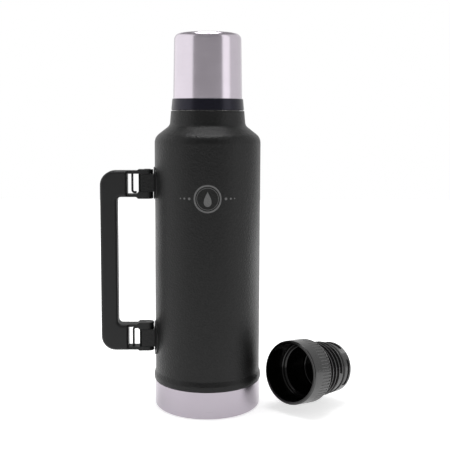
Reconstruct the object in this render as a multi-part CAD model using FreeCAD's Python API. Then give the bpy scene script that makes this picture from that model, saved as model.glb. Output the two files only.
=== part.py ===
"""A 1.9 litre vacuum growler: steel flask, folding side handle, screw cup and screw stopper.

The bottle stands on its base with its axis on +Z and the base ring on z = 0. The handle is on
the -X side. The stopper is out of the neck and lies on its side, on the surface that the bottle
stands on. Everything is in millimetres.
"""
import FreeCAD, Part
import math
import os

os.makedirs("parts", exist_ok=True)

Vector = FreeCAD.Vector
ORIGIN = Vector(0, 0, 0)
UP = Vector(0, 0, 1)

# Body
BODY_RADIUS = 53.0
BASE_BAND = 27.3
WALL_LENGTH = 246.1
SHOULDER_SLOPE = 38.0
SHOULDER_ROUNDING = 11.0
NECK_TAPER = 1.2
NECK_LENGTH = 14.5
NECK_ROUNDING = 7.0
BEAD_HEIGHT = 10.0
BEAD_CREST = 4.0
BEAD_BULGE = 1.4
BEAD_ROUNDING = 1.2
SHEET = 0.6
ROLL_RADIUS = 0.8

# Base
BASE_LAP = 4.7
BASE_RECESS = 4.0
BASE_FOOT = 6.1
BASE_ROUNDING = 3.0
JACKET_FLOOR = 6.0
JACKET_SHEET = 0.8
JACKET_LAP = 5.0
JACKET_STEP = 1.0
JACKET_FIT = 0.2
DIMPLE_RADIUS = 6.0
DIMPLE_DEPTH = 2.0
EVACUATION_RADIUS = 1.0
SEAL_BEAD_RADIUS = 3.0
SEAL_BEAD_HEIGHT = 1.4
SEAL_BEAD_ROUNDING = 1.0

# Inner flask
VACUUM_GAP = 3.8
FLASK_FLOOR = 11.5
FLASK_ROUNDING = 12.0
NECK_DROP = 8.0
SEAM_LENGTH = 3.0
GETTER_RADIUS = 7.0
GETTER_HEIGHT = 2.2
GETTER_OFFSET = 22.0
FOIL = 0.15
FOIL_MARGIN = 16.0

# Neck and its two threads
SPIGOT_RADIUS = 32.1
SPIGOT_WALL = 1.0
NECK_SHELF = 4.5
LINER_GAP = 1.8
SPIGOT_LENGTH = 14.2
SPIGOT_LAP = 6.0
MOUTH_RING = 2.0
LINER_WALL = 1.0
LAND_STEP = 0.4
LAND_LENGTH = 8.0
LAND_RAMP = 2.0
THREAD_CLEARANCE = 0.3
RIDGE_ROOT = 1.9
RIDGE_CREST = 0.8
RIDGE_SINK = 0.3
CUP_THREAD_DEPTH = 1.1
CUP_THREAD_PITCH = 5.0
SPIGOT_THREAD_TURNS = 1.4
RING_THREAD_TURNS = 0.9
STOPPER_THREAD_DEPTH = 1.5
STOPPER_THREAD_PITCH = 5.5
NECK_THREAD_TURNS = 3.4
STOPPER_THREAD_TURNS = 3.7
STOPPER_THREAD_LEAD = 5.2

# Cup
CUP_OVERHANG = 2.2
CUP_TAPER = 1.1
CUP_HEIGHT = 64.6
CUP_CROWN = 0.9
CUP_ROUNDING = 6.0
CUP_SEAT = 2.5
RING_HEIGHT = 10.9
RING_SETBACK = 0.3
RING_TAPER = 1.0
RING_ROUNDING = 0.8
CUP_GAP = 0.9
GASKET_GAP = 0.3
GASKET_SEAT = 1.0
GASKET_WIDTH = 1.7
GASKET_FIT = 0.1

# Handle and its two hinges
HINGE_STANDOFF = 7.7
HANDLE_ABOVE_BEAD = 19.7
HANDLE_BELOW_SHOULDER = 33.4
HANDLE_STANDOFF = 54.6
GRIP_DEPTH = 16.8
HANDLE_WIDTH = 18.0
HANDLE_CORNER = 14.5
GRIP_CORNER = 4.0
ARM_HEIGHT = 26.3
FORK_DEPTH = 19.8
PRONG_RADIUS = 6.0
OUTER_PRONG = 3.0
INNER_PRONG = 2.7
BOSS_RISE = 1.1
BOSS_DROP = 1.8
BOSS_LIFT = 2.3
BOSS_LENGTH = 9.0
PRONG_BLEND = 2.0
HANDLE_EDGE = 3.0
HINGE_PLAY = 0.3
PIN_RADIUS = 2.2
PIN_PLAY = 0.06
PIN_HEAD_RADIUS = 3.4
PIN_HEAD_HEIGHT = 0.5
PIN_HEAD_ROUNDING = 0.4
KNUCKLE_WIDTH = 12.0
KNUCKLE_NOSE = 8.6
KNUCKLE_CHAMFER = 2.8
KNUCKLE_ROUNDING = 1.5
PLATE_THICKNESS = 1.2
PLATE_WIDTH = 38.0
PLATE_HEIGHT = 31.0
PLATE_CORNER = 10.0
WIRE_RADIUS = 1.1
WIRE_SEAT = 1.5
WIRE_BEND = 2.2
WIRE_TO_WEB = 4.8
FOOT_LIFT = 0.6

# Stopper
FLANGE_CLEARANCE = 0.5
FLANGE_HEIGHT = 26.5
FLANGE_TAPER = 0.3
FLANGE_WALL = 1.6
FLANGE_ROUNDING = 1.0
FLANGE_FOOT_ROUNDING = 1.5
GRIP_BAND = 13.0
GRIP_GROOVES = 60
GROOVE_RADIUS = 0.9
GROOVE_DEPTH = 0.45
SKIRT_CLEARANCE = 0.4
SKIRT_LENGTH = 43.0
SKIRT_WALL = 1.5
LINER_SHEET = 1.2
LINER_FIT = 0.1
HOLLOW_DEPTH = 29.0
HOLLOW_ROUNDING = 3.0
CAP_THICKNESS = 1.8
SEAL_SECTION = 1.5
SEAL_PROUD = 0.6
FLANGE_GASKET = 0.8
FLANGE_GASKET_WIDTH = 3.6
SLOT_COUNT = 4
SLOT_SPAN = 62.0
SLOT_HEIGHT = 6.0
SLOT_DEPTH = 1.0
SLOT_ROUNDING = 1.5
SLOT_START = -33.0
END_RING = 3.2
STOPPER_APART = 47.3
STOPPER_Y = -15.0
STOPPER_HEADING = 44.0

# Heights and radii that follow from the sizes above
slope = math.radians(SHOULDER_SLOPE)
neck_top_radius = SPIGOT_RADIUS + NECK_SHELF
neck_radius = neck_top_radius + NECK_TAPER
neck_bore = SPIGOT_RADIUS - SPIGOT_WALL - LINER_GAP - LINER_WALL
land_radius = neck_bore - STOPPER_THREAD_DEPTH - LAND_STEP
cup_radius = SPIGOT_RADIUS + CUP_OVERHANG
ring_radius = neck_top_radius - RING_SETBACK
hinge_radius = BODY_RADIUS + HINGE_STANDOFF
handle_reach = BODY_RADIUS + HANDLE_STANDOFF
shoulder_z = BASE_BAND + WALL_LENGTH
neck_z = shoulder_z + (BODY_RADIUS - neck_radius) * math.tan(slope)
neck_top_z = neck_z + NECK_LENGTH
mouth_z = neck_top_z + SPIGOT_LENGTH
shell_bore = BODY_RADIUS - SHEET
bead_top_z = BASE_BAND + BEAD_HEIGHT
lap_top_z = bead_top_z + BASE_LAP
handle_low_z = bead_top_z + HANDLE_ABOVE_BEAD
handle_height = shoulder_z - HANDLE_BELOW_SHOULDER - handle_low_z
handle_middle = handle_low_z + handle_height / 2
flask_radius = shell_bore - VACUUM_GAP
flask_neck_radius = land_radius + LINER_WALL + SHEET
flask_cone_drop = (SHEET + VACUUM_GAP) / math.cos(slope) + NECK_DROP
flask_shoulder_z = shoulder_z + (BODY_RADIUS - flask_radius) * math.tan(slope) - flask_cone_drop
flask_neck_z = shoulder_z + (BODY_RADIUS - flask_neck_radius) * math.tan(slope) - flask_cone_drop
ring_z = neck_top_z + CUP_GAP
ring_top_z = ring_z + RING_HEIGHT
cup_top_z = ring_top_z + CUP_HEIGHT
half_handle = handle_height / 2
finger_gap = half_handle - ARM_HEIGHT
knuckle_low = finger_gap + INNER_PRONG + BOSS_LIFT
knuckle_high = half_handle - OUTER_PRONG
skirt_radius = land_radius - SKIRT_CLEARANCE
flange_radius = SPIGOT_RADIUS + THREAD_CLEARANCE - FLANGE_CLEARANCE


def solid_of(shape):
    """The single solid that a shape holds, turned outside out where needed."""
    solid = shape.Solids[0]
    if solid.Volume < 0:
        solid.reverse()
    return solid


def path_edges(corners, closed=False):
    """Lines through (radius, height, rounding) corners, with an arc at each rounded corner."""
    count = len(corners)
    points = [Vector(r, 0, z) for r, z, rounding in corners]
    starts, ends, arcs = [], [], []
    for i, (r, z, rounding) in enumerate(corners):
        here = points[i]
        if rounding == 0 or (not closed and i in (0, count - 1)):
            starts.append(here)
            ends.append(here)
            arcs.append(None)
            continue
        back = (points[i - 1] - here).normalize()
        ahead = (points[(i + 1) % count] - here).normalize()
        half = back.getAngle(ahead) / 2
        reach = rounding / math.tan(half)
        middle = here + (back + ahead).normalize() * (rounding / math.sin(half) - rounding)
        starts.append(here + back * reach)
        ends.append(here + ahead * reach)
        arcs.append(Part.Arc(starts[i], middle, ends[i]).toShape())
    edges = []
    for i in range(count):
        if arcs[i]:
            edges.append(arcs[i])
        if i == count - 1 and not closed:
            continue
        target = starts[(i + 1) % count]
        if ends[i].distanceToPoint(target) > 1e-6:
            edges.append(Part.makeLine(ends[i], target))
    return edges


def beside(corners, distance):
    """The same path moved to the left of its direction; an end on the axis stays on the axis."""
    normals = []
    for (r1, z1, _), (r2, z2, _) in zip(corners, corners[1:]):
        length = math.hypot(r2 - r1, z2 - z1)
        normals.append((-(z2 - z1) / length, (r2 - r1) / length))
    moved = []
    for i, (r, z, rounding) in enumerate(corners):
        before = normals[max(i - 1, 0)]
        after = normals[min(i, len(normals) - 1)]
        share = 1 + before[0] * after[0] + before[1] * after[1]
        turn = before[0] * after[1] - before[1] * after[0]
        inner = rounding - math.copysign(distance, turn) if rounding else 0
        if r == 0:
            moved.append((0, z + distance / after[1], 0))
            continue
        moved.append((r + distance * (before[0] + after[0]) / share,
                      z + distance * (before[1] + after[1]) / share,
                      max(inner, 0)))
    return moved


def revolved(edges):
    face = Part.Face(Part.Wire(Part.__sortEdges__(edges)))
    return solid_of(face.revolve(ORIGIN, UP, 360))


def turned(corners):
    """A solid of revolution from a closed outline of (radius, height, rounding) corners."""
    return revolved(path_edges(corners, closed=True))


def pressed(corners, wall):
    """Sheet metal of revolution: the path is one face, and the wall lies on its left."""
    near = path_edges(corners)
    far_corners = beside(corners, wall)
    far = path_edges(far_corners)
    first = Part.makeLine(Vector(corners[0][0], 0, corners[0][1]),
                          Vector(far_corners[0][0], 0, far_corners[0][1]))
    last = Part.makeLine(Vector(corners[-1][0], 0, corners[-1][1]),
                         Vector(far_corners[-1][0], 0, far_corners[-1][1]))
    return revolved(near + far + [first, last])


def tube(inner, outer, low, high):
    return turned([(inner, low, 0), (outer, low, 0), (outer, high, 0), (inner, high, 0)])


def ridge(radius, depth, pitch, turns, low):
    """A helical thread ridge on a wall; a negative depth points to the axis."""
    root = radius - math.copysign(RIDGE_SINK, depth)
    helix = Part.makeHelix(pitch, pitch * turns, radius)
    outline = [Vector(root, 0, -RIDGE_ROOT / 2), Vector(radius + depth, 0, -RIDGE_CREST / 2),
               Vector(radius + depth, 0, RIDGE_CREST / 2), Vector(root, 0, RIDGE_ROOT / 2)]
    profile = Part.makePolygon(outline + outline[:1])
    thread = Part.Wire(helix).makePipeShell([profile], True, True)
    thread.translate(Vector(0, 0, low))
    return solid_of(thread)


def mirrored(shape):
    """The lower hinge's copy of an upper hinge's piece."""
    return shape.mirror(Vector(0, 0, handle_middle), UP)


def outer_shell():
    bead = BODY_RADIUS + BEAD_BULGE
    return pressed([(BODY_RADIUS, BASE_BAND, 0),
                    (bead, BASE_BAND + BEAD_BULGE, BEAD_ROUNDING),
                    (bead, BASE_BAND + BEAD_BULGE + BEAD_CREST, BEAD_CREST),
                    (BODY_RADIUS, bead_top_z, BEAD_CREST),
                    (BODY_RADIUS, shoulder_z, SHOULDER_ROUNDING),
                    (neck_radius, neck_z, NECK_ROUNDING),
                    (neck_top_radius, neck_top_z, ROLL_RADIUS),
                    (SPIGOT_RADIUS, neck_top_z, 0)], SHEET)


def base_cup():
    rim = BODY_RADIUS + SHEET
    foot = rim - BASE_FOOT
    return pressed([(0, BASE_RECESS, 0),
                    (foot - BASE_RECESS / 2, BASE_RECESS, 2 * SHEET),
                    (foot, 0, 2 * SHEET),
                    (rim, 0, BASE_ROUNDING),
                    (rim, BASE_BAND, 0),
                    (shell_bore, BASE_BAND, 0),
                    (shell_bore, lap_top_z, 0)], SHEET)


def jacket_bottom():
    skirt = shell_bore - SHEET - JACKET_FIT
    step = lap_top_z + JACKET_STEP
    cup = pressed([(0, JACKET_FLOOR + DIMPLE_DEPTH, 0),
                   (DIMPLE_RADIUS, JACKET_FLOOR + DIMPLE_DEPTH, JACKET_SHEET),
                   (DIMPLE_RADIUS + DIMPLE_DEPTH, JACKET_FLOOR, 2 * JACKET_SHEET),
                   (skirt, JACKET_FLOOR, BASE_ROUNDING * 2),
                   (skirt, step - SHEET, JACKET_SHEET),
                   (shell_bore, step, JACKET_SHEET),
                   (shell_bore, step + JACKET_LAP, 0)], JACKET_SHEET)
    hole = Part.makeCylinder(EVACUATION_RADIUS, BASE_BAND, Vector(0, 0, 0))
    return solid_of(cup.cut(hole))


def vacuum_seal():
    """The bead that closes the evacuation hole, up in the dimple under the jacket."""
    top = JACKET_FLOOR + DIMPLE_DEPTH
    return turned([(0, top - SEAL_BEAD_HEIGHT, 0),
                   (SEAL_BEAD_RADIUS, top - SEAL_BEAD_HEIGHT, SEAL_BEAD_ROUNDING),
                   (SEAL_BEAD_RADIUS, top, 0),
                   (0, top, 0)])


def inner_flask():
    return pressed([(flask_radius, FLASK_FLOOR + FLASK_ROUNDING + SEAM_LENGTH, 0),
                    (flask_radius, flask_shoulder_z, SHOULDER_ROUNDING),
                    (flask_neck_radius, flask_neck_z, NECK_ROUNDING / 2),
                    (flask_neck_radius, flask_neck_z + LAND_LENGTH - LAND_RAMP, 0)], SHEET)


def flask_bottom():
    seam = FLASK_FLOOR + FLASK_ROUNDING + SEAM_LENGTH
    return pressed([(0, FLASK_FLOOR, 0),
                    (flask_radius, FLASK_FLOOR, FLASK_ROUNDING),
                    (flask_radius, seam, 0)], SHEET)


def getter():
    return Part.makeCylinder(GETTER_RADIUS, GETTER_HEIGHT,
                             Vector(GETTER_OFFSET, 0, FLASK_FLOOR - GETTER_HEIGHT))


def flask_foil():
    low = FLASK_FLOOR + FLASK_ROUNDING + FOIL_MARGIN
    return tube(flask_radius, flask_radius + FOIL, low, flask_shoulder_z - FOIL_MARGIN)


def spigot_thread_z():
    """Start of the spigot's ridge; the cup's ridge runs half a pitch above it."""
    return neck_top_z + RIDGE_ROOT / 2 + GASKET_FIT


def neck_spigot():
    sleeve = tube(SPIGOT_RADIUS - SPIGOT_WALL, SPIGOT_RADIUS,
                  neck_top_z - SPIGOT_LAP, mouth_z - MOUTH_RING)
    thread = ridge(SPIGOT_RADIUS, CUP_THREAD_DEPTH, CUP_THREAD_PITCH, SPIGOT_THREAD_TURNS,
                   spigot_thread_z())
    return solid_of(sleeve.fuse(thread))


def neck_liner():
    land_top = flask_neck_z + LAND_LENGTH
    sleeve = pressed([(neck_bore, mouth_z - MOUTH_RING, 0),
                      (neck_bore, land_top + LAND_RAMP, LINER_WALL),
                      (land_radius, land_top, LINER_WALL),
                      (land_radius, flask_neck_z, 0)], LINER_WALL)
    low = mouth_z - MOUTH_RING - RIDGE_ROOT - NECK_THREAD_TURNS * STOPPER_THREAD_PITCH
    thread = ridge(neck_bore, -STOPPER_THREAD_DEPTH, STOPPER_THREAD_PITCH, NECK_THREAD_TURNS, low)
    return solid_of(sleeve.fuse(thread))


def mouth_ring():
    low = mouth_z - MOUTH_RING
    edge = MOUTH_RING / 2
    return turned([(neck_bore, low, 0), (SPIGOT_RADIUS, low, 0),
                   (SPIGOT_RADIUS, mouth_z, edge), (neck_bore, mouth_z, edge)])


def cup_shell():
    return pressed([(cup_radius, ring_top_z - CUP_SEAT, 0),
                    (cup_radius, ring_top_z, 0),
                    (cup_radius - CUP_TAPER, cup_top_z - CUP_CROWN, CUP_ROUNDING),
                    (0, cup_top_z, 0)], SHEET)


def cup_ring():
    bore = SPIGOT_RADIUS + CUP_THREAD_DEPTH + THREAD_CLEARANCE
    gasket_bore = bore + THREAD_CLEARANCE - GASKET_FIT
    gasket_rim = gasket_bore + GASKET_WIDTH + 2 * GASKET_FIT
    gasket_top = ring_z + GASKET_SEAT + GASKET_FIT
    seat = ring_top_z - CUP_SEAT
    top_radius = ring_radius - RING_TAPER
    body = turned([(bore, ring_z, 0),
                   (gasket_bore, ring_z, 0),
                   (gasket_bore, gasket_top, 0),
                   (gasket_rim, gasket_top, 0),
                   (gasket_rim, ring_z, 0),
                   (ring_radius, ring_z, 0),
                   (top_radius, ring_top_z, RING_ROUNDING),
                   (cup_radius, ring_top_z, 0),
                   (cup_radius, seat, 0),
                   (bore, seat, 0)])
    thread = ridge(bore, -CUP_THREAD_DEPTH, CUP_THREAD_PITCH, RING_THREAD_TURNS,
                   spigot_thread_z() + CUP_THREAD_PITCH / 2)
    return solid_of(body.fuse(thread))


def cup_gasket():
    bore = SPIGOT_RADIUS + CUP_THREAD_DEPTH + 2 * THREAD_CLEARANCE
    return tube(bore, bore + GASKET_WIDTH, neck_top_z + GASKET_GAP, ring_z + GASKET_SEAT)


def extruded(corners, direction):
    """A prism from a closed outline in the plane y = 0, pushed both ways along a direction."""
    face = Part.Face(Part.Wire(path_edges(corners, closed=True)))
    prism = face.extrude(direction * 2)
    prism.translate(direction * -1)
    return solid_of(prism)


def handle_frame():
    """The handle's C, seen from the side, with every long edge rounded for the hand."""
    grip = GRIP_DEPTH - handle_reach
    web = -hinge_radius - FORK_DEPTH
    upper = [(grip, finger_gap, GRIP_CORNER),
             (web, finger_gap, 0),
             (web, half_handle, 0),
             (-handle_reach, half_handle, HANDLE_CORNER)]
    lower = [(x, -z, rounding) for x, z, rounding in reversed(upper)]
    outline = [(x, z + handle_middle, rounding) for x, z, rounding in upper + lower]
    frame = extruded(outline, Vector(0, HANDLE_WIDTH / 2, 0))
    sides = [edge for edge in frame.Edges
             if all(abs(abs(vertex.Y) - HANDLE_WIDTH / 2) < 1e-6 for vertex in edge.Vertexes)
             and abs(abs(edge.CenterOfMass.y) - HANDLE_WIDTH / 2) < 1e-6]
    return solid_of(frame.makeFillet(HANDLE_EDGE, sides))


def upright(corners, low, high):
    """A prism standing on +Z, from a closed outline of (x, y, rounding) corners."""
    prism = extruded(corners, Vector(0, (high - low) / 2, 0))
    prism.rotate(ORIGIN, Vector(1, 0, 0), 90)
    prism.translate(Vector(0, 0, (low + high) / 2))
    return prism


def fork():
    """The upper arm's two prongs, each ending in a round boss on the hinge pin."""
    root = -hinge_radius - FORK_DEPTH - HANDLE_EDGE
    tip = PRONG_RADIUS - hinge_radius
    boss = -hinge_radius - BOSS_LENGTH
    small = PRONG_BLEND / 2
    inner = [(root, finger_gap, 0),
             (boss - BOSS_DROP, finger_gap, PRONG_BLEND),
             (boss, finger_gap - BOSS_DROP, PRONG_BLEND),
             (tip, finger_gap - BOSS_DROP, small),
             (tip, knuckle_low, small),
             (boss, knuckle_low, small),
             (boss - BOSS_DROP, finger_gap + INNER_PRONG, small),
             (root, finger_gap + INNER_PRONG, 0)]
    outer = [(root, knuckle_high, 0),
             (tip, knuckle_high, small / 2),
             (tip, half_handle + BOSS_RISE, small / 2),
             (boss, half_handle + BOSS_RISE, small),
             (boss - BOSS_RISE, half_handle, small),
             (root, half_handle, 0)]
    side = [(root, PRONG_RADIUS, 0), (tip, PRONG_RADIUS, PRONG_RADIUS)]
    plan = upright(side + [(x, -y, rounding) for x, y, rounding in reversed(side)],
                   finger_gap - BOSS_LENGTH, half_handle + BOSS_LENGTH)
    prongs = [extruded(outline, Vector(0, PRONG_RADIUS, 0)).common(plan)
              for outline in (inner, outer)]
    both = prongs[0].fuse(prongs[1])
    both.translate(Vector(0, 0, handle_middle))
    return both


def handle():
    prongs = fork()
    body = handle_frame().fuse([prongs, mirrored(prongs)])
    bore = Part.makeCylinder(PIN_RADIUS, 2 * handle_height, Vector(-hinge_radius, 0, -BASE_BAND))
    wire_x = -hinge_radius - FORK_DEPTH + WIRE_TO_WEB
    seat_height = handle_middle + knuckle_high
    seat = Part.makeCylinder(WIRE_RADIUS, WIRE_SEAT, Vector(wire_x, 0, seat_height))
    return solid_of(body.cut([bore, seat, mirrored(seat)]))


def hinge_pin():
    low = handle_middle + finger_gap - BOSS_DROP
    high = handle_middle + half_handle + BOSS_RISE
    pin = turned([(0, low, 0), (PIN_RADIUS, low, 0), (PIN_RADIUS, high, 0),
                  (PIN_HEAD_RADIUS, high, 0),
                  (PIN_HEAD_RADIUS, high + PIN_HEAD_HEIGHT, PIN_HEAD_ROUNDING),
                  (0, high + PIN_HEAD_HEIGHT, 0)])
    pin.translate(Vector(-hinge_radius, 0, 0))
    return pin


def detent_spring():
    """A wire across the fork, held in the outer prong, whose foot bends to the knuckle's nose."""
    x = -hinge_radius - FORK_DEPTH + WIRE_TO_WEB
    high = handle_middle + knuckle_high + WIRE_SEAT
    foot_z = handle_middle + finger_gap + INNER_PRONG + FOOT_LIFT + WIRE_RADIUS
    tip = -hinge_radius - BOSS_LENGTH - BOSS_DROP
    path = Part.Wire(path_edges([(x, high, 0), (x, foot_z, WIRE_BEND), (tip, foot_z, 0)]))
    section = Part.Wire(Part.makeCircle(WIRE_RADIUS, Vector(x, 0, high), UP))
    return solid_of(path.makePipeShell([section], True, True))


def bracket():
    """A curved foot plate welded to the shell, with the knuckle that the fork turns on."""
    low = handle_middle + knuckle_low + HINGE_PLAY
    high = handle_middle + knuckle_high - HINGE_PLAY
    middle = (low + high) / 2
    plate_radius = BODY_RADIUS + PLATE_THICKNESS
    half_width = PLATE_WIDTH / 2
    half_height = PLATE_HEIGHT / 2
    outline = [(-half_width, -half_height, PLATE_CORNER), (half_width, -half_height, PLATE_CORNER),
               (half_width, half_height, PLATE_CORNER), (-half_width, half_height, PLATE_CORNER)]
    window = extruded(outline, Vector(0, plate_radius, 0))
    window.rotate(ORIGIN, UP, 90)
    window.translate(Vector(-plate_radius, 0, middle))
    plate = tube(BODY_RADIUS, plate_radius, middle - PLATE_HEIGHT, middle + PLATE_HEIGHT)
    half_knuckle = KNUCKLE_WIDTH / 2
    nose = -hinge_radius - KNUCKLE_NOSE
    root = -BODY_RADIUS - PLATE_THICKNESS / 2
    side = [(nose, half_knuckle - KNUCKLE_CHAMFER, KNUCKLE_ROUNDING),
            (nose + KNUCKLE_CHAMFER, half_knuckle, KNUCKLE_ROUNDING),
            (root, half_knuckle, 0)]
    plan = side + [(x, -y, rounding) for x, y, rounding in reversed(side)]
    knuckle = upright(plan, low, high)
    bore = Part.makeCylinder(PIN_RADIUS + PIN_PLAY, handle_height, Vector(-hinge_radius, 0, 0))
    bore.translate(Vector(0, 0, middle - half_handle))
    return solid_of(plate.common(window).fuse(knuckle).cut(bore))


def stopper_shell():
    """The outer moulding: a wide ribbed flange over a threaded skirt, in the stopper's frame."""
    mouth = flange_radius - FLANGE_TAPER
    bore = skirt_radius - SKIRT_WALL
    body = turned([(skirt_radius, 0, 0),
                   (flange_radius, 0, FLANGE_FOOT_ROUNDING),
                   (flange_radius, GRIP_BAND + 2 * FLANGE_ROUNDING, 0),
                   (mouth, FLANGE_HEIGHT, FLANGE_ROUNDING),
                   (mouth - FLANGE_WALL, FLANGE_HEIGHT, 0),
                   (mouth - FLANGE_WALL, FLANGE_WALL, HOLLOW_ROUNDING),
                   (bore, FLANGE_WALL, HOLLOW_ROUNDING - LINER_SHEET),
                   (bore, -SKIRT_LENGTH, 0),
                   (skirt_radius, -SKIRT_LENGTH, FLANGE_ROUNDING)])
    thread_low = -STOPPER_THREAD_LEAD - STOPPER_THREAD_TURNS * STOPPER_THREAD_PITCH
    thread = ridge(skirt_radius, STOPPER_THREAD_DEPTH, STOPPER_THREAD_PITCH, STOPPER_THREAD_TURNS,
                   thread_low)
    groove_depth = SEAL_SECTION - SEAL_PROUD
    groove = tube(skirt_radius - groove_depth, skirt_radius + SEAL_SECTION,
                  seal_z() - SEAL_SECTION, seal_z() + SEAL_SECTION)
    return solid_of(body.fuse(thread).cut(groove).cut(grip_grooves()).cut(pour_slots()))


def grip_grooves():
    grooves = []
    for i in range(GRIP_GROOVES):
        angle = math.radians(i * 360 / GRIP_GROOVES)
        radius = flange_radius + GROOVE_RADIUS - GROOVE_DEPTH
        foot = Vector(radius * math.cos(angle), radius * math.sin(angle), FLANGE_ROUNDING * 2)
        grooves.append(Part.makeCylinder(GROOVE_RADIUS, GRIP_BAND, foot))
    return Part.makeCompound(grooves)


def pour_slots():
    """Shallow pockets round the skirt's end, where the drink runs past a loosened stopper."""
    low = END_RING - SKIRT_LENGTH
    high = low + SLOT_HEIGHT
    inner = skirt_radius - SLOT_DEPTH
    outer = skirt_radius + SLOT_DEPTH
    outline = [(inner, low, 0), (outer, low, 0), (outer, high, 0), (inner, high, 0)]
    face = Part.Face(Part.Wire(path_edges(outline, closed=True)))
    slot = solid_of(face.revolve(ORIGIN, UP, SLOT_SPAN))
    ends = [edge for edge in slot.Edges if abs(edge.Length - 2 * SLOT_DEPTH) < 1e-6]
    slot = slot.makeFillet(SLOT_ROUNDING, ends)
    slots = []
    for i in range(SLOT_COUNT):
        copy = slot.copy()
        copy.rotate(ORIGIN, UP, SLOT_START + i * 360 / SLOT_COUNT)
        slots.append(copy)
    return Part.makeCompound(slots)


def seal_z():
    """Height of the stopper's seal below its flange: the middle of the plain land in the neck."""
    return flask_neck_z + LAND_LENGTH / 2 - mouth_z


def stopper_liner():
    mouth = flange_radius - FLANGE_TAPER - FLANGE_WALL - LINER_FIT
    bore = skirt_radius - SKIRT_WALL - LINER_FIT
    return pressed([(0, -HOLLOW_DEPTH, 0),
                    (bore, -HOLLOW_DEPTH, HOLLOW_ROUNDING),
                    (bore, FLANGE_WALL, HOLLOW_ROUNDING - LINER_SHEET),
                    (mouth, FLANGE_WALL, HOLLOW_ROUNDING),
                    (mouth, FLANGE_HEIGHT, 0)], LINER_SHEET)


def stopper_foam():
    return Part.makeCylinder(skirt_radius - SKIRT_WALL, SKIRT_LENGTH - HOLLOW_DEPTH - CAP_THICKNESS,
                             Vector(0, 0, CAP_THICKNESS - SKIRT_LENGTH))


def stopper_cap():
    return Part.makeCylinder(skirt_radius - SKIRT_WALL, CAP_THICKNESS, Vector(0, 0, -SKIRT_LENGTH))


def stopper_seal():
    groove_depth = SEAL_SECTION - SEAL_PROUD
    low = seal_z() - SEAL_SECTION
    high = seal_z() + SEAL_SECTION
    inner = skirt_radius - groove_depth
    outer = skirt_radius + SEAL_PROUD
    return turned([(inner, low, 0), (outer, low, SEAL_SECTION / 2),
                   (outer, high, SEAL_SECTION / 2), (inner, high, 0)])


def flange_gasket():
    outer = flange_radius - 2 * FLANGE_ROUNDING
    return tube(outer - FLANGE_GASKET_WIDTH, outer, -FLANGE_GASKET, 0)


def laid_down(shape):
    """Moves a stopper piece from its own frame to where the stopper lies."""
    run = FLANGE_FOOT_ROUNDING + SKIRT_LENGTH
    lean = math.degrees(math.asin((flange_radius - skirt_radius) / run))
    placed = shape.copy()
    placed.rotate(ORIGIN, Vector(1, 0, 0), 90 - lean)
    placed.rotate(ORIGIN, UP, -STOPPER_HEADING)
    placed.translate(Vector(BODY_RADIUS + STOPPER_APART, STOPPER_Y, 0))
    return placed


hinge_pieces = {"bracket": bracket(), "hinge_pin": hinge_pin(), "detent_spring": detent_spring()}
pieces = {
    "outer_shell": outer_shell(),
    "base_cup": base_cup(),
    "jacket_bottom": jacket_bottom(),
    "vacuum_seal": vacuum_seal(),
    "inner_flask": inner_flask(),
    "flask_bottom": flask_bottom(),
    "flask_foil": flask_foil(),
    "getter": getter(),
    "neck_spigot": neck_spigot(),
    "neck_liner": neck_liner(),
    "mouth_ring": mouth_ring(),
    "handle": handle(),
    "cup_shell": cup_shell(),
    "cup_ring": cup_ring(),
    "cup_gasket": cup_gasket(),
}
for name, shape in hinge_pieces.items():
    pieces["upper_" + name] = shape
    pieces["lower_" + name] = mirrored(shape)

stopper = {
    "stopper_shell": stopper_shell(),
    "stopper_liner": stopper_liner(),
    "stopper_foam": stopper_foam(),
    "stopper_cap": stopper_cap(),
    "stopper_seal": stopper_seal(),
    "stopper_flange_gasket": flange_gasket(),
}
lying = {name: laid_down(shape) for name, shape in stopper.items()}
drop = min(shape.BoundBox.ZMin for shape in lying.values())
for name, shape in lying.items():
    shape.translate(Vector(0, 0, -drop))
    pieces[name] = shape

for name, shape in pieces.items():
    print(name, len(shape.Solids), shape.isValid(), round(shape.Volume, 1))
    shape.exportStep("parts/" + name + ".step")
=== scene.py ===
import math

import bmesh
import bpy
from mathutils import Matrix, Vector


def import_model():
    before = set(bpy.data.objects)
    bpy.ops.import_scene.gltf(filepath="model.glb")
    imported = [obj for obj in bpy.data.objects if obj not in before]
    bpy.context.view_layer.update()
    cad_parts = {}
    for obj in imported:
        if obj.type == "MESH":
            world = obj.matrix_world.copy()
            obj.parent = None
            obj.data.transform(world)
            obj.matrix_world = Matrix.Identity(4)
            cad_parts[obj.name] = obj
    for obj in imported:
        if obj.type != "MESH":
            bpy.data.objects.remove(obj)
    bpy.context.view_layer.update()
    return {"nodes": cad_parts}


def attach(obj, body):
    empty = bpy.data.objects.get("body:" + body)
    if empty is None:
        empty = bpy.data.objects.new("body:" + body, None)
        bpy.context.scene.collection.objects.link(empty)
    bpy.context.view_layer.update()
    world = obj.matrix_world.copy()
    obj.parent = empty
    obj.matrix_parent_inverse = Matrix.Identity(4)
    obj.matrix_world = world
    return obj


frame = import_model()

nodes = frame["nodes"]


# ---------------------------------------------------------------- material helpers

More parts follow.
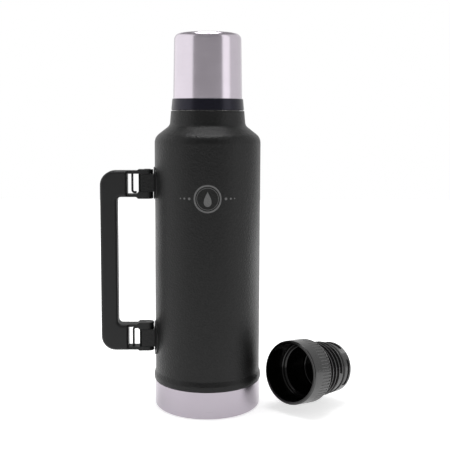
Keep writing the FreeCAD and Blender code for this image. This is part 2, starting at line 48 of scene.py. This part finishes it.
class Shader:
    """A node material with one Principled shader and short ways to add and join nodes."""

    def __init__(self, name, colour, roughness, metallic=0.0, specular=0.5):
        self.material = bpy.data.materials.new(name)
        self.material.use_nodes = True
        self.tree = self.material.node_tree
        self.surface = self.tree.nodes["Principled BSDF"]
        self.surface.inputs["Base Color"].default_value = (*colour, 1)
        self.surface.inputs["Roughness"].default_value = roughness
        self.surface.inputs["Metallic"].default_value = metallic
        self.surface.inputs["Specular IOR Level"].default_value = specular
        self.place = self.add("ShaderNodeTexCoord").outputs["Object"]

    def add(self, kind, **settings):
        node = self.tree.nodes.new(kind)
        for key, value in settings.items():
            setattr(node, key, value)
        return node

    def join(self, source, target):
        self.tree.links.new(source, target)

    def feed(self, sockets, items):
        """Gives each socket a number, or another node's output."""
        for socket, item in zip(sockets, items):
            if isinstance(item, (int, float)):
                socket.default_value = item
            else:
                self.join(item, socket)

    def value(self, operation, first, second=0.0):
        """A Math node; each input is a number or another node's output."""
        node = self.add("ShaderNodeMath", operation=operation)
        self.feed(node.inputs, (first, second))
        return node.outputs[0]

    def noise(self, vector, scale, detail=3.0, roughness=0.5):
        node = self.add("ShaderNodeTexNoise")
        node.inputs["Scale"].default_value = scale
        node.inputs["Detail"].default_value = detail
        node.inputs["Roughness"].default_value = roughness
        self.join(vector, node.inputs["Vector"])
        return node.outputs["Fac"]

    def cells(self, vector, scale):
        node = self.add("ShaderNodeTexVoronoi", feature="SMOOTH_F1")
        node.inputs["Scale"].default_value = scale
        self.join(vector, node.inputs["Vector"])
        return node.outputs["Distance"]

    def spread(self, source, low, high, from_low=0.3, from_high=0.7):
        """A value mapped from a source's range to a range of its own."""
        node = self.add("ShaderNodeMapRange")
        for socket, number in zip(node.inputs[1:5], (from_low, from_high, low, high)):
            socket.default_value = number
        self.join(source, node.inputs["Value"])
        return node.outputs["Result"]

    def tint(self, source, dark, light):
        """A colour that runs from dark to light as the source goes from 0 to 1."""
        node = self.add("ShaderNodeMix", data_type="RGBA")
        node.inputs["A"].default_value = (*dark, 1)
        node.inputs["B"].default_value = (*light, 1)
        self.join(source, node.inputs["Factor"])
        return node.outputs["Result"]

    def bump(self, height, distance, strength=1.0):
        node = self.add("ShaderNodeBump")
        node.inputs["Strength"].default_value = strength
        node.inputs["Distance"].default_value = distance
        self.join(height, node.inputs["Height"])
        self.join(node.outputs["Normal"], self.surface.inputs["Normal"])

    def split(self):
        node = self.add("ShaderNodeSeparateXYZ")
        self.join(self.place, node.inputs[0])
        return node.outputs

    def vector(self, x, y, z):
        node = self.add("ShaderNodeCombineXYZ")
        self.feed(node.inputs, (x, y, z))
        return node.outputs[0]

    def from_axis(self, x, y):
        """The distance from the object's vertical axis."""
        return self.value("SQRT", self.value("ADD", self.value("MULTIPLY", x, x),
                                             self.value("MULTIPLY", y, y)))


# Sizes of the grains, as cells or waves in a metre
HAMMER_SCALE = 620.0
GRAIN_SCALE = 850.0
CLOUD_SCALE = 14.0
BRUSH_SCALE = 4200.0
BRUSH_STROKES = 2.2
SMUDGE_SCALE = 30.0
GLOSS_SCALE = 22.0


def textured_paint(name, dark, light):
    """Powder coat: a hammered skin of small cells about 1.5 mm apart, with a fine grain."""
    shader = Shader(name, light, 0.36, specular=0.27)
    cells = shader.cells(shader.place, HAMMER_SCALE)
    cloud = shader.noise(shader.place, GRAIN_SCALE, 4.0, 0.6)
    broad = shader.noise(shader.place, CLOUD_SCALE)
    mottle = shader.value("ADD", shader.value("MULTIPLY", cells, 0.6),
                          shader.value("MULTIPLY", cloud, 0.6))
    shader.join(shader.tint(shader.spread(mottle, 0.0, 1.0, 0.35, 0.8), dark, light),
                shader.surface.inputs["Base Color"])
    rough = shader.value("ADD", shader.spread(broad, -0.02, 0.02), shader.spread(cloud, 0.3, 0.42))
    shader.join(rough, shader.surface.inputs["Roughness"])
    shader.bump(mottle, 0.00045, 0.9)
    return shader.material


def turned_steel(name, colour, roughness, grooves=0.00001):
    """Stainless steel brushed round the bottle's axis: rings on a face, level lines on a wall."""
    shader = Shader(name, colour, roughness, metallic=1.0)
    shader.surface.inputs["Anisotropic"].default_value = 0.6
    shader.surface.inputs["Anisotropic Rotation"].default_value = 0.25
    around = shader.add("ShaderNodeTangent", direction_type="RADIAL", axis="Z")
    shader.join(around.outputs["Tangent"], shader.surface.inputs["Tangent"])
    x, y, z = shader.split()
    angle = shader.value("ARCTAN2", y, x)
    lines = shader.vector(shader.value("MULTIPLY", shader.from_axis(x, y), BRUSH_SCALE),
                          shader.value("MULTIPLY", z, BRUSH_SCALE),
                          shader.value("MULTIPLY", angle, BRUSH_STROKES))
    brushed = shader.noise(lines, 1.0, 2.0)
    smudge = shader.noise(shader.place, SMUDGE_SCALE, 4.0, 0.6)
    shade = shader.value("ADD", shader.value("MULTIPLY", brushed, 0.5),
                         shader.value("MULTIPLY", smudge, 0.5))
    dark = tuple(part * 0.92 for part in colour)
    shader.join(shader.tint(shader.spread(shade, 0.0, 1.0, 0.35, 0.65), dark, colour),
                shader.surface.inputs["Base Color"])
    shader.join(shader.spread(shade, roughness - 0.03, roughness + 0.04),
                shader.surface.inputs["Roughness"])
    shader.bump(brushed, grooves, 0.35)
    return shader.material


def moulded(name, dark, light, low, high, grain_size=0.0006, depth=0.00004, specular=0.4,
            shine=(1, 1, 1)):
    """Moulded plastic with a spark-eroded grain and slight uneven gloss."""
    shader = Shader(name, light, high, specular=specular)
    shader.surface.inputs["Specular Tint"].default_value = (*shine, 1)
    grain = shader.noise(shader.place, 1 / grain_size, 2.0)
    broad = shader.noise(shader.place, GLOSS_SCALE)
    shader.join(shader.tint(shader.spread(broad, 0.0, 1.0), dark, light),
                shader.surface.inputs["Base Color"])
    shader.join(shader.spread(broad, low, high), shader.surface.inputs["Roughness"])
    shader.bump(grain, depth, 0.5)
    return shader.material


def paint_node(name, material):
    """Gives a CAD node one finish."""
    for slot in nodes[name].material_slots:
        slot.material = material


# ---------------------------------------------------------------- materials

paint = textured_paint("powder_coat", (0.0045, 0.0046, 0.0046), (0.0095, 0.0096, 0.0096))
bracket_paint = textured_paint("bracket_coat", (0.005, 0.0051, 0.0052), (0.009, 0.0091, 0.0092))
steel = turned_steel("brushed_steel", (0.69, 0.63, 0.70), 0.24)
# The base band is the cup's brushed steel with its colour scaled to about two thirds: painted
# shade on the base band, not a darker metal.
painted_shade_base_steel = turned_steel("painted_shade_base_steel", (0.45, 0.41, 0.46), 0.24)
neck_steel = turned_steel("neck_steel", (0.62, 0.61, 0.6), 0.22)
inner_steel = turned_steel("inner_steel", (0.55, 0.55, 0.55), 0.32)
ring_plastic = moulded("ring_plastic", (0.002, 0.002, 0.0045), (0.0035, 0.0035, 0.007), 0.2, 0.28,
                       specular=0.38, shine=(0.82, 0.8, 1.0))
handle_plastic = moulded("handle_plastic", (0.005, 0.0051, 0.0053), (0.008, 0.0082, 0.0084),
                         0.44, 0.54, specular=0.36)
stopper_plastic = moulded("stopper_plastic", (0.004, 0.004, 0.004), (0.008, 0.008, 0.008),
                          0.16, 0.24, specular=0.8)
liner_plastic = moulded("liner_plastic", (0.001, 0.001, 0.001), (0.002, 0.002, 0.002), 0.08, 0.14,
                        0.004, 0.00001)
rubber = moulded("silicone", (0.008, 0.008, 0.008), (0.014, 0.014, 0.014), 0.5, 0.7)
pin_metal = moulded("pin_metal", (0.016, 0.016, 0.017), (0.03, 0.03, 0.031), 0.3, 0.42)

finishes = {
    "outer_shell": paint, "base_cup": painted_shade_base_steel, "cup_shell": steel, "cup_ring": ring_plastic,
    "cup_gasket": rubber, "neck_spigot": neck_steel, "neck_liner": neck_steel,
    "mouth_ring": neck_steel, "inner_flask": inner_steel, "flask_bottom": inner_steel,
    "jacket_bottom": inner_steel, "flask_foil": inner_steel, "vacuum_seal": rubber,
    "getter": inner_steel, "handle": handle_plastic, "stopper_shell": stopper_plastic,
    "stopper_liner": liner_plastic, "stopper_foam": rubber, "stopper_cap": handle_plastic,
    "stopper_seal": rubber, "stopper_flange_gasket": rubber,
}
for side in ("upper", "lower"):
    finishes[side + "_bracket"] = bracket_paint
    finishes[side + "_hinge_pin"] = pin_metal
    finishes[side + "_detent_spring"] = pin_metal
for name, finish in finishes.items():
    paint_node(name, finish)


# ---------------------------------------------------------------- printed badge

BODY_RADIUS = 0.053
BADGE_HEIGHT = 0.2165
INK_THICKNESS = 0.00006
DROP_WIDTH = 0.0052
DROP_HEIGHT = 0.0072
DROP_SINK = 0.0002
DROP_POINT = 1.4


def wrapped(mesh_name, shapes):
    """A printed mesh from shapes, each a list of rows of (across, up) points, laid on the wall."""
    mesh = bpy.data.meshes.new(mesh_name)
    bm = bmesh.new()
    radius = BODY_RADIUS + INK_THICKNESS / 2
    for rows in shapes:
        grid = []
        for row in rows:
            grid.append([bm.verts.new((radius * math.sin(across / radius),
                                       -radius * math.cos(across / radius),
                                       BADGE_HEIGHT + up)) for across, up in row])
        for lower, upper in zip(grid, grid[1:]):
            for i in range(len(lower) - 1):
                bm.faces.new((lower[i], lower[i + 1], upper[i + 1], upper[i]))
    bmesh.ops.remove_doubles(bm, verts=bm.verts, dist=1e-7)
    bmesh.ops.recalc_face_normals(bm, faces=bm.faces)
    bm.to_mesh(mesh)
    bm.free()
    obj = bpy.data.objects.new(mesh_name, mesh)
    bpy.context.collection.objects.link(obj)
    ink = obj.modifiers.new("ink", "SOLIDIFY")
    ink.thickness = INK_THICKNESS
    ink.offset = 0
    return obj


def circle_row(radius, steps=96):
    turn = 2 * math.pi / steps
    return [(radius * math.cos(i * turn), radius * math.sin(i * turn)) for i in range(steps + 1)]


def drop_row(share, steps=64):
    """A drop's outline, round below and pointed above, shrunk to a share of its size."""
    row = []
    for i in range(steps + 1):
        turn = 2 * math.pi * i / steps
        width = DROP_WIDTH * math.sin(turn) * math.sin(turn / 2) ** DROP_POINT
        row.append((width * share, (DROP_HEIGHT * math.cos(turn) - DROP_SINK) * share))
    return row


def dot_rows(centre, radius):
    return [[(centre + x, y) for x, y in circle_row(share * radius, 32)]
            for share in (0.05, 0.4, 0.7, 1.0)]


def badge():
    """A plain ring with a drop in it, between two rows of dots that get smaller."""
    shapes = [[circle_row(0.0118), circle_row(0.0126), circle_row(0.0134)],
              [circle_row(0.0102), circle_row(0.0106)],
              [drop_row(share) for share in (0.02, 0.25, 0.5, 0.75, 1.0)]]
    for across, radius in ((0.0178, 0.0013), (0.0228, 0.0010), (0.0270, 0.0007)):
        shapes.append(dot_rows(across, radius))
        shapes.append(dot_rows(-across, radius))
    obj = wrapped("front_badge", shapes)
    shader = Shader("badge_ink", (0.12, 0.12, 0.12), 0.5)
    worn = shader.noise(shader.place, 900.0, 4.0, 0.7)
    shader.join(shader.tint(shader.spread(worn, 0.0, 1.0), (0.075, 0.075, 0.076),
                            (0.15, 0.15, 0.15)), shader.surface.inputs["Base Color"])
    shader.join(shader.spread(worn, 0.42, 0.6), shader.surface.inputs["Roughness"])
    shader.bump(worn, 0.00008, 0.4)
    obj.data.materials.append(shader.material)
    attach(obj, "bottle")


badge()


# ---------------------------------------------------------------- stage, lights and camera

def card(name, corner, across, up, strength):
    """A flat glowing studio card that lights and reflects but is not seen by the camera."""
    corner, across, up = Vector(corner), Vector(across), Vector(up)
    mesh = bpy.data.meshes.new(name)
    mesh.from_pydata([corner, corner + across, corner + across + up, corner + up], [],
                     [(0, 1, 2, 3)])
    obj = bpy.data.objects.new(name, mesh)
    bpy.context.collection.objects.link(obj)
    obj.visible_camera = False
    obj.visible_shadow = False
    material = bpy.data.materials.new(name)
    material.use_nodes = True
    tree = material.node_tree
    tree.nodes.clear()
    glow = tree.nodes.new("ShaderNodeEmission")
    glow.inputs["Strength"].default_value = strength
    out = tree.nodes.new("ShaderNodeOutputMaterial")
    tree.links.new(glow.outputs[0], out.inputs["Surface"])
    mesh.materials.append(material)


FLOOR_REACH = 2.0
FLOOR_DROP = 0.0002


def floor():
    """A plain pale floor, brighter far away so that its edge doesn't show."""
    mesh = bpy.data.meshes.new("floor")
    corners = [(-FLOOR_REACH, -FLOOR_REACH, 0), (FLOOR_REACH, -FLOOR_REACH, 0),
               (FLOOR_REACH, FLOOR_REACH, 0), (-FLOOR_REACH, FLOOR_REACH, 0)]
    mesh.from_pydata(corners, [], [(0, 1, 2, 3)])
    obj = bpy.data.objects.new("floor", mesh)
    obj.location.z = -FLOOR_DROP
    bpy.context.collection.objects.link(obj)
    shader = Shader("floor", (0.8, 0.8, 0.8), 0.8, specular=0.1)
    cloud = shader.noise(shader.place, 3.0)
    shader.join(shader.tint(cloud, (0.78, 0.78, 0.78), (0.82, 0.82, 0.82)),
                shader.surface.inputs["Base Color"])
    shader.surface.inputs["Emission Color"].default_value = (1, 1, 1, 1)
    x, y, z = shader.split()
    shader.join(shader.spread(shader.from_axis(x, y), 0.6, 0.95, 0.7, 1.5),
                shader.surface.inputs["Emission Strength"])
    mesh.materials.append(shader.material)


def world(seen, lit):
    """White behind the object, dimmer as a source of light."""
    surroundings = bpy.data.worlds.new("studio")
    surroundings.use_nodes = True
    tree = surroundings.node_tree
    background = tree.nodes["Background"]
    background.inputs["Color"].default_value = (1, 1, 1, 1)
    path = tree.nodes.new("ShaderNodeLightPath")
    mix = tree.nodes.new("ShaderNodeMapRange")
    mix.inputs["To Min"].default_value = lit
    mix.inputs["To Max"].default_value = seen
    tree.links.new(path.outputs["Is Camera Ray"], mix.inputs["Value"])
    tree.links.new(mix.outputs["Result"], background.inputs["Strength"])
    bpy.context.scene.world = surroundings


CAMERA_PLACE = (0, -0.8327, 0.29735)
CAMERA_TILT = 6.3
CAMERA_ROLL = -0.19
CAMERA_TURN = -1.189


def camera():
    data = bpy.data.cameras.new("camera")
    data.lens = 66.27
    data.sensor_width = 36.0
    data.shift_y = -0.0451
    obj = bpy.data.objects.new("camera", data)
    obj.location = CAMERA_PLACE
    obj.rotation_euler = [math.radians(angle) for angle in (90 - CAMERA_TILT, CAMERA_ROLL,
                                                            CAMERA_TURN)]
    bpy.context.collection.objects.link(obj)
    bpy.context.scene.camera = obj


floor()
world(1.0, 0.30)
camera()
card("left_card", (-1.2, -1.0, 0), (0, 2.8, 0), (0, 0, 1.6), 1.15)
card("right_card", (1.2, -1.0, 0), (0, 0.75, 0), (0, 0, 1.6), 1.3)
card("right_fill", (1.2, -0.25, 0), (0, 2.05, 0), (0, 0, 1.6), 0.75)
card("back_card", (-1.2, 1.8, 0), (2.4, 0, 0), (0, 0, 1.6), 0.8)
card("top_card", (-0.35, -0.2, 1.4), (0.7, 0, 0), (0, 0.6, 0), 7.0)
card("stopper_card", (0.3, 0.12, 0.05), (-0.05, 0.05, 0), (0, 0, 0.1), 3.0)
bpy.context.scene.view_settings.view_transform = "Standard"
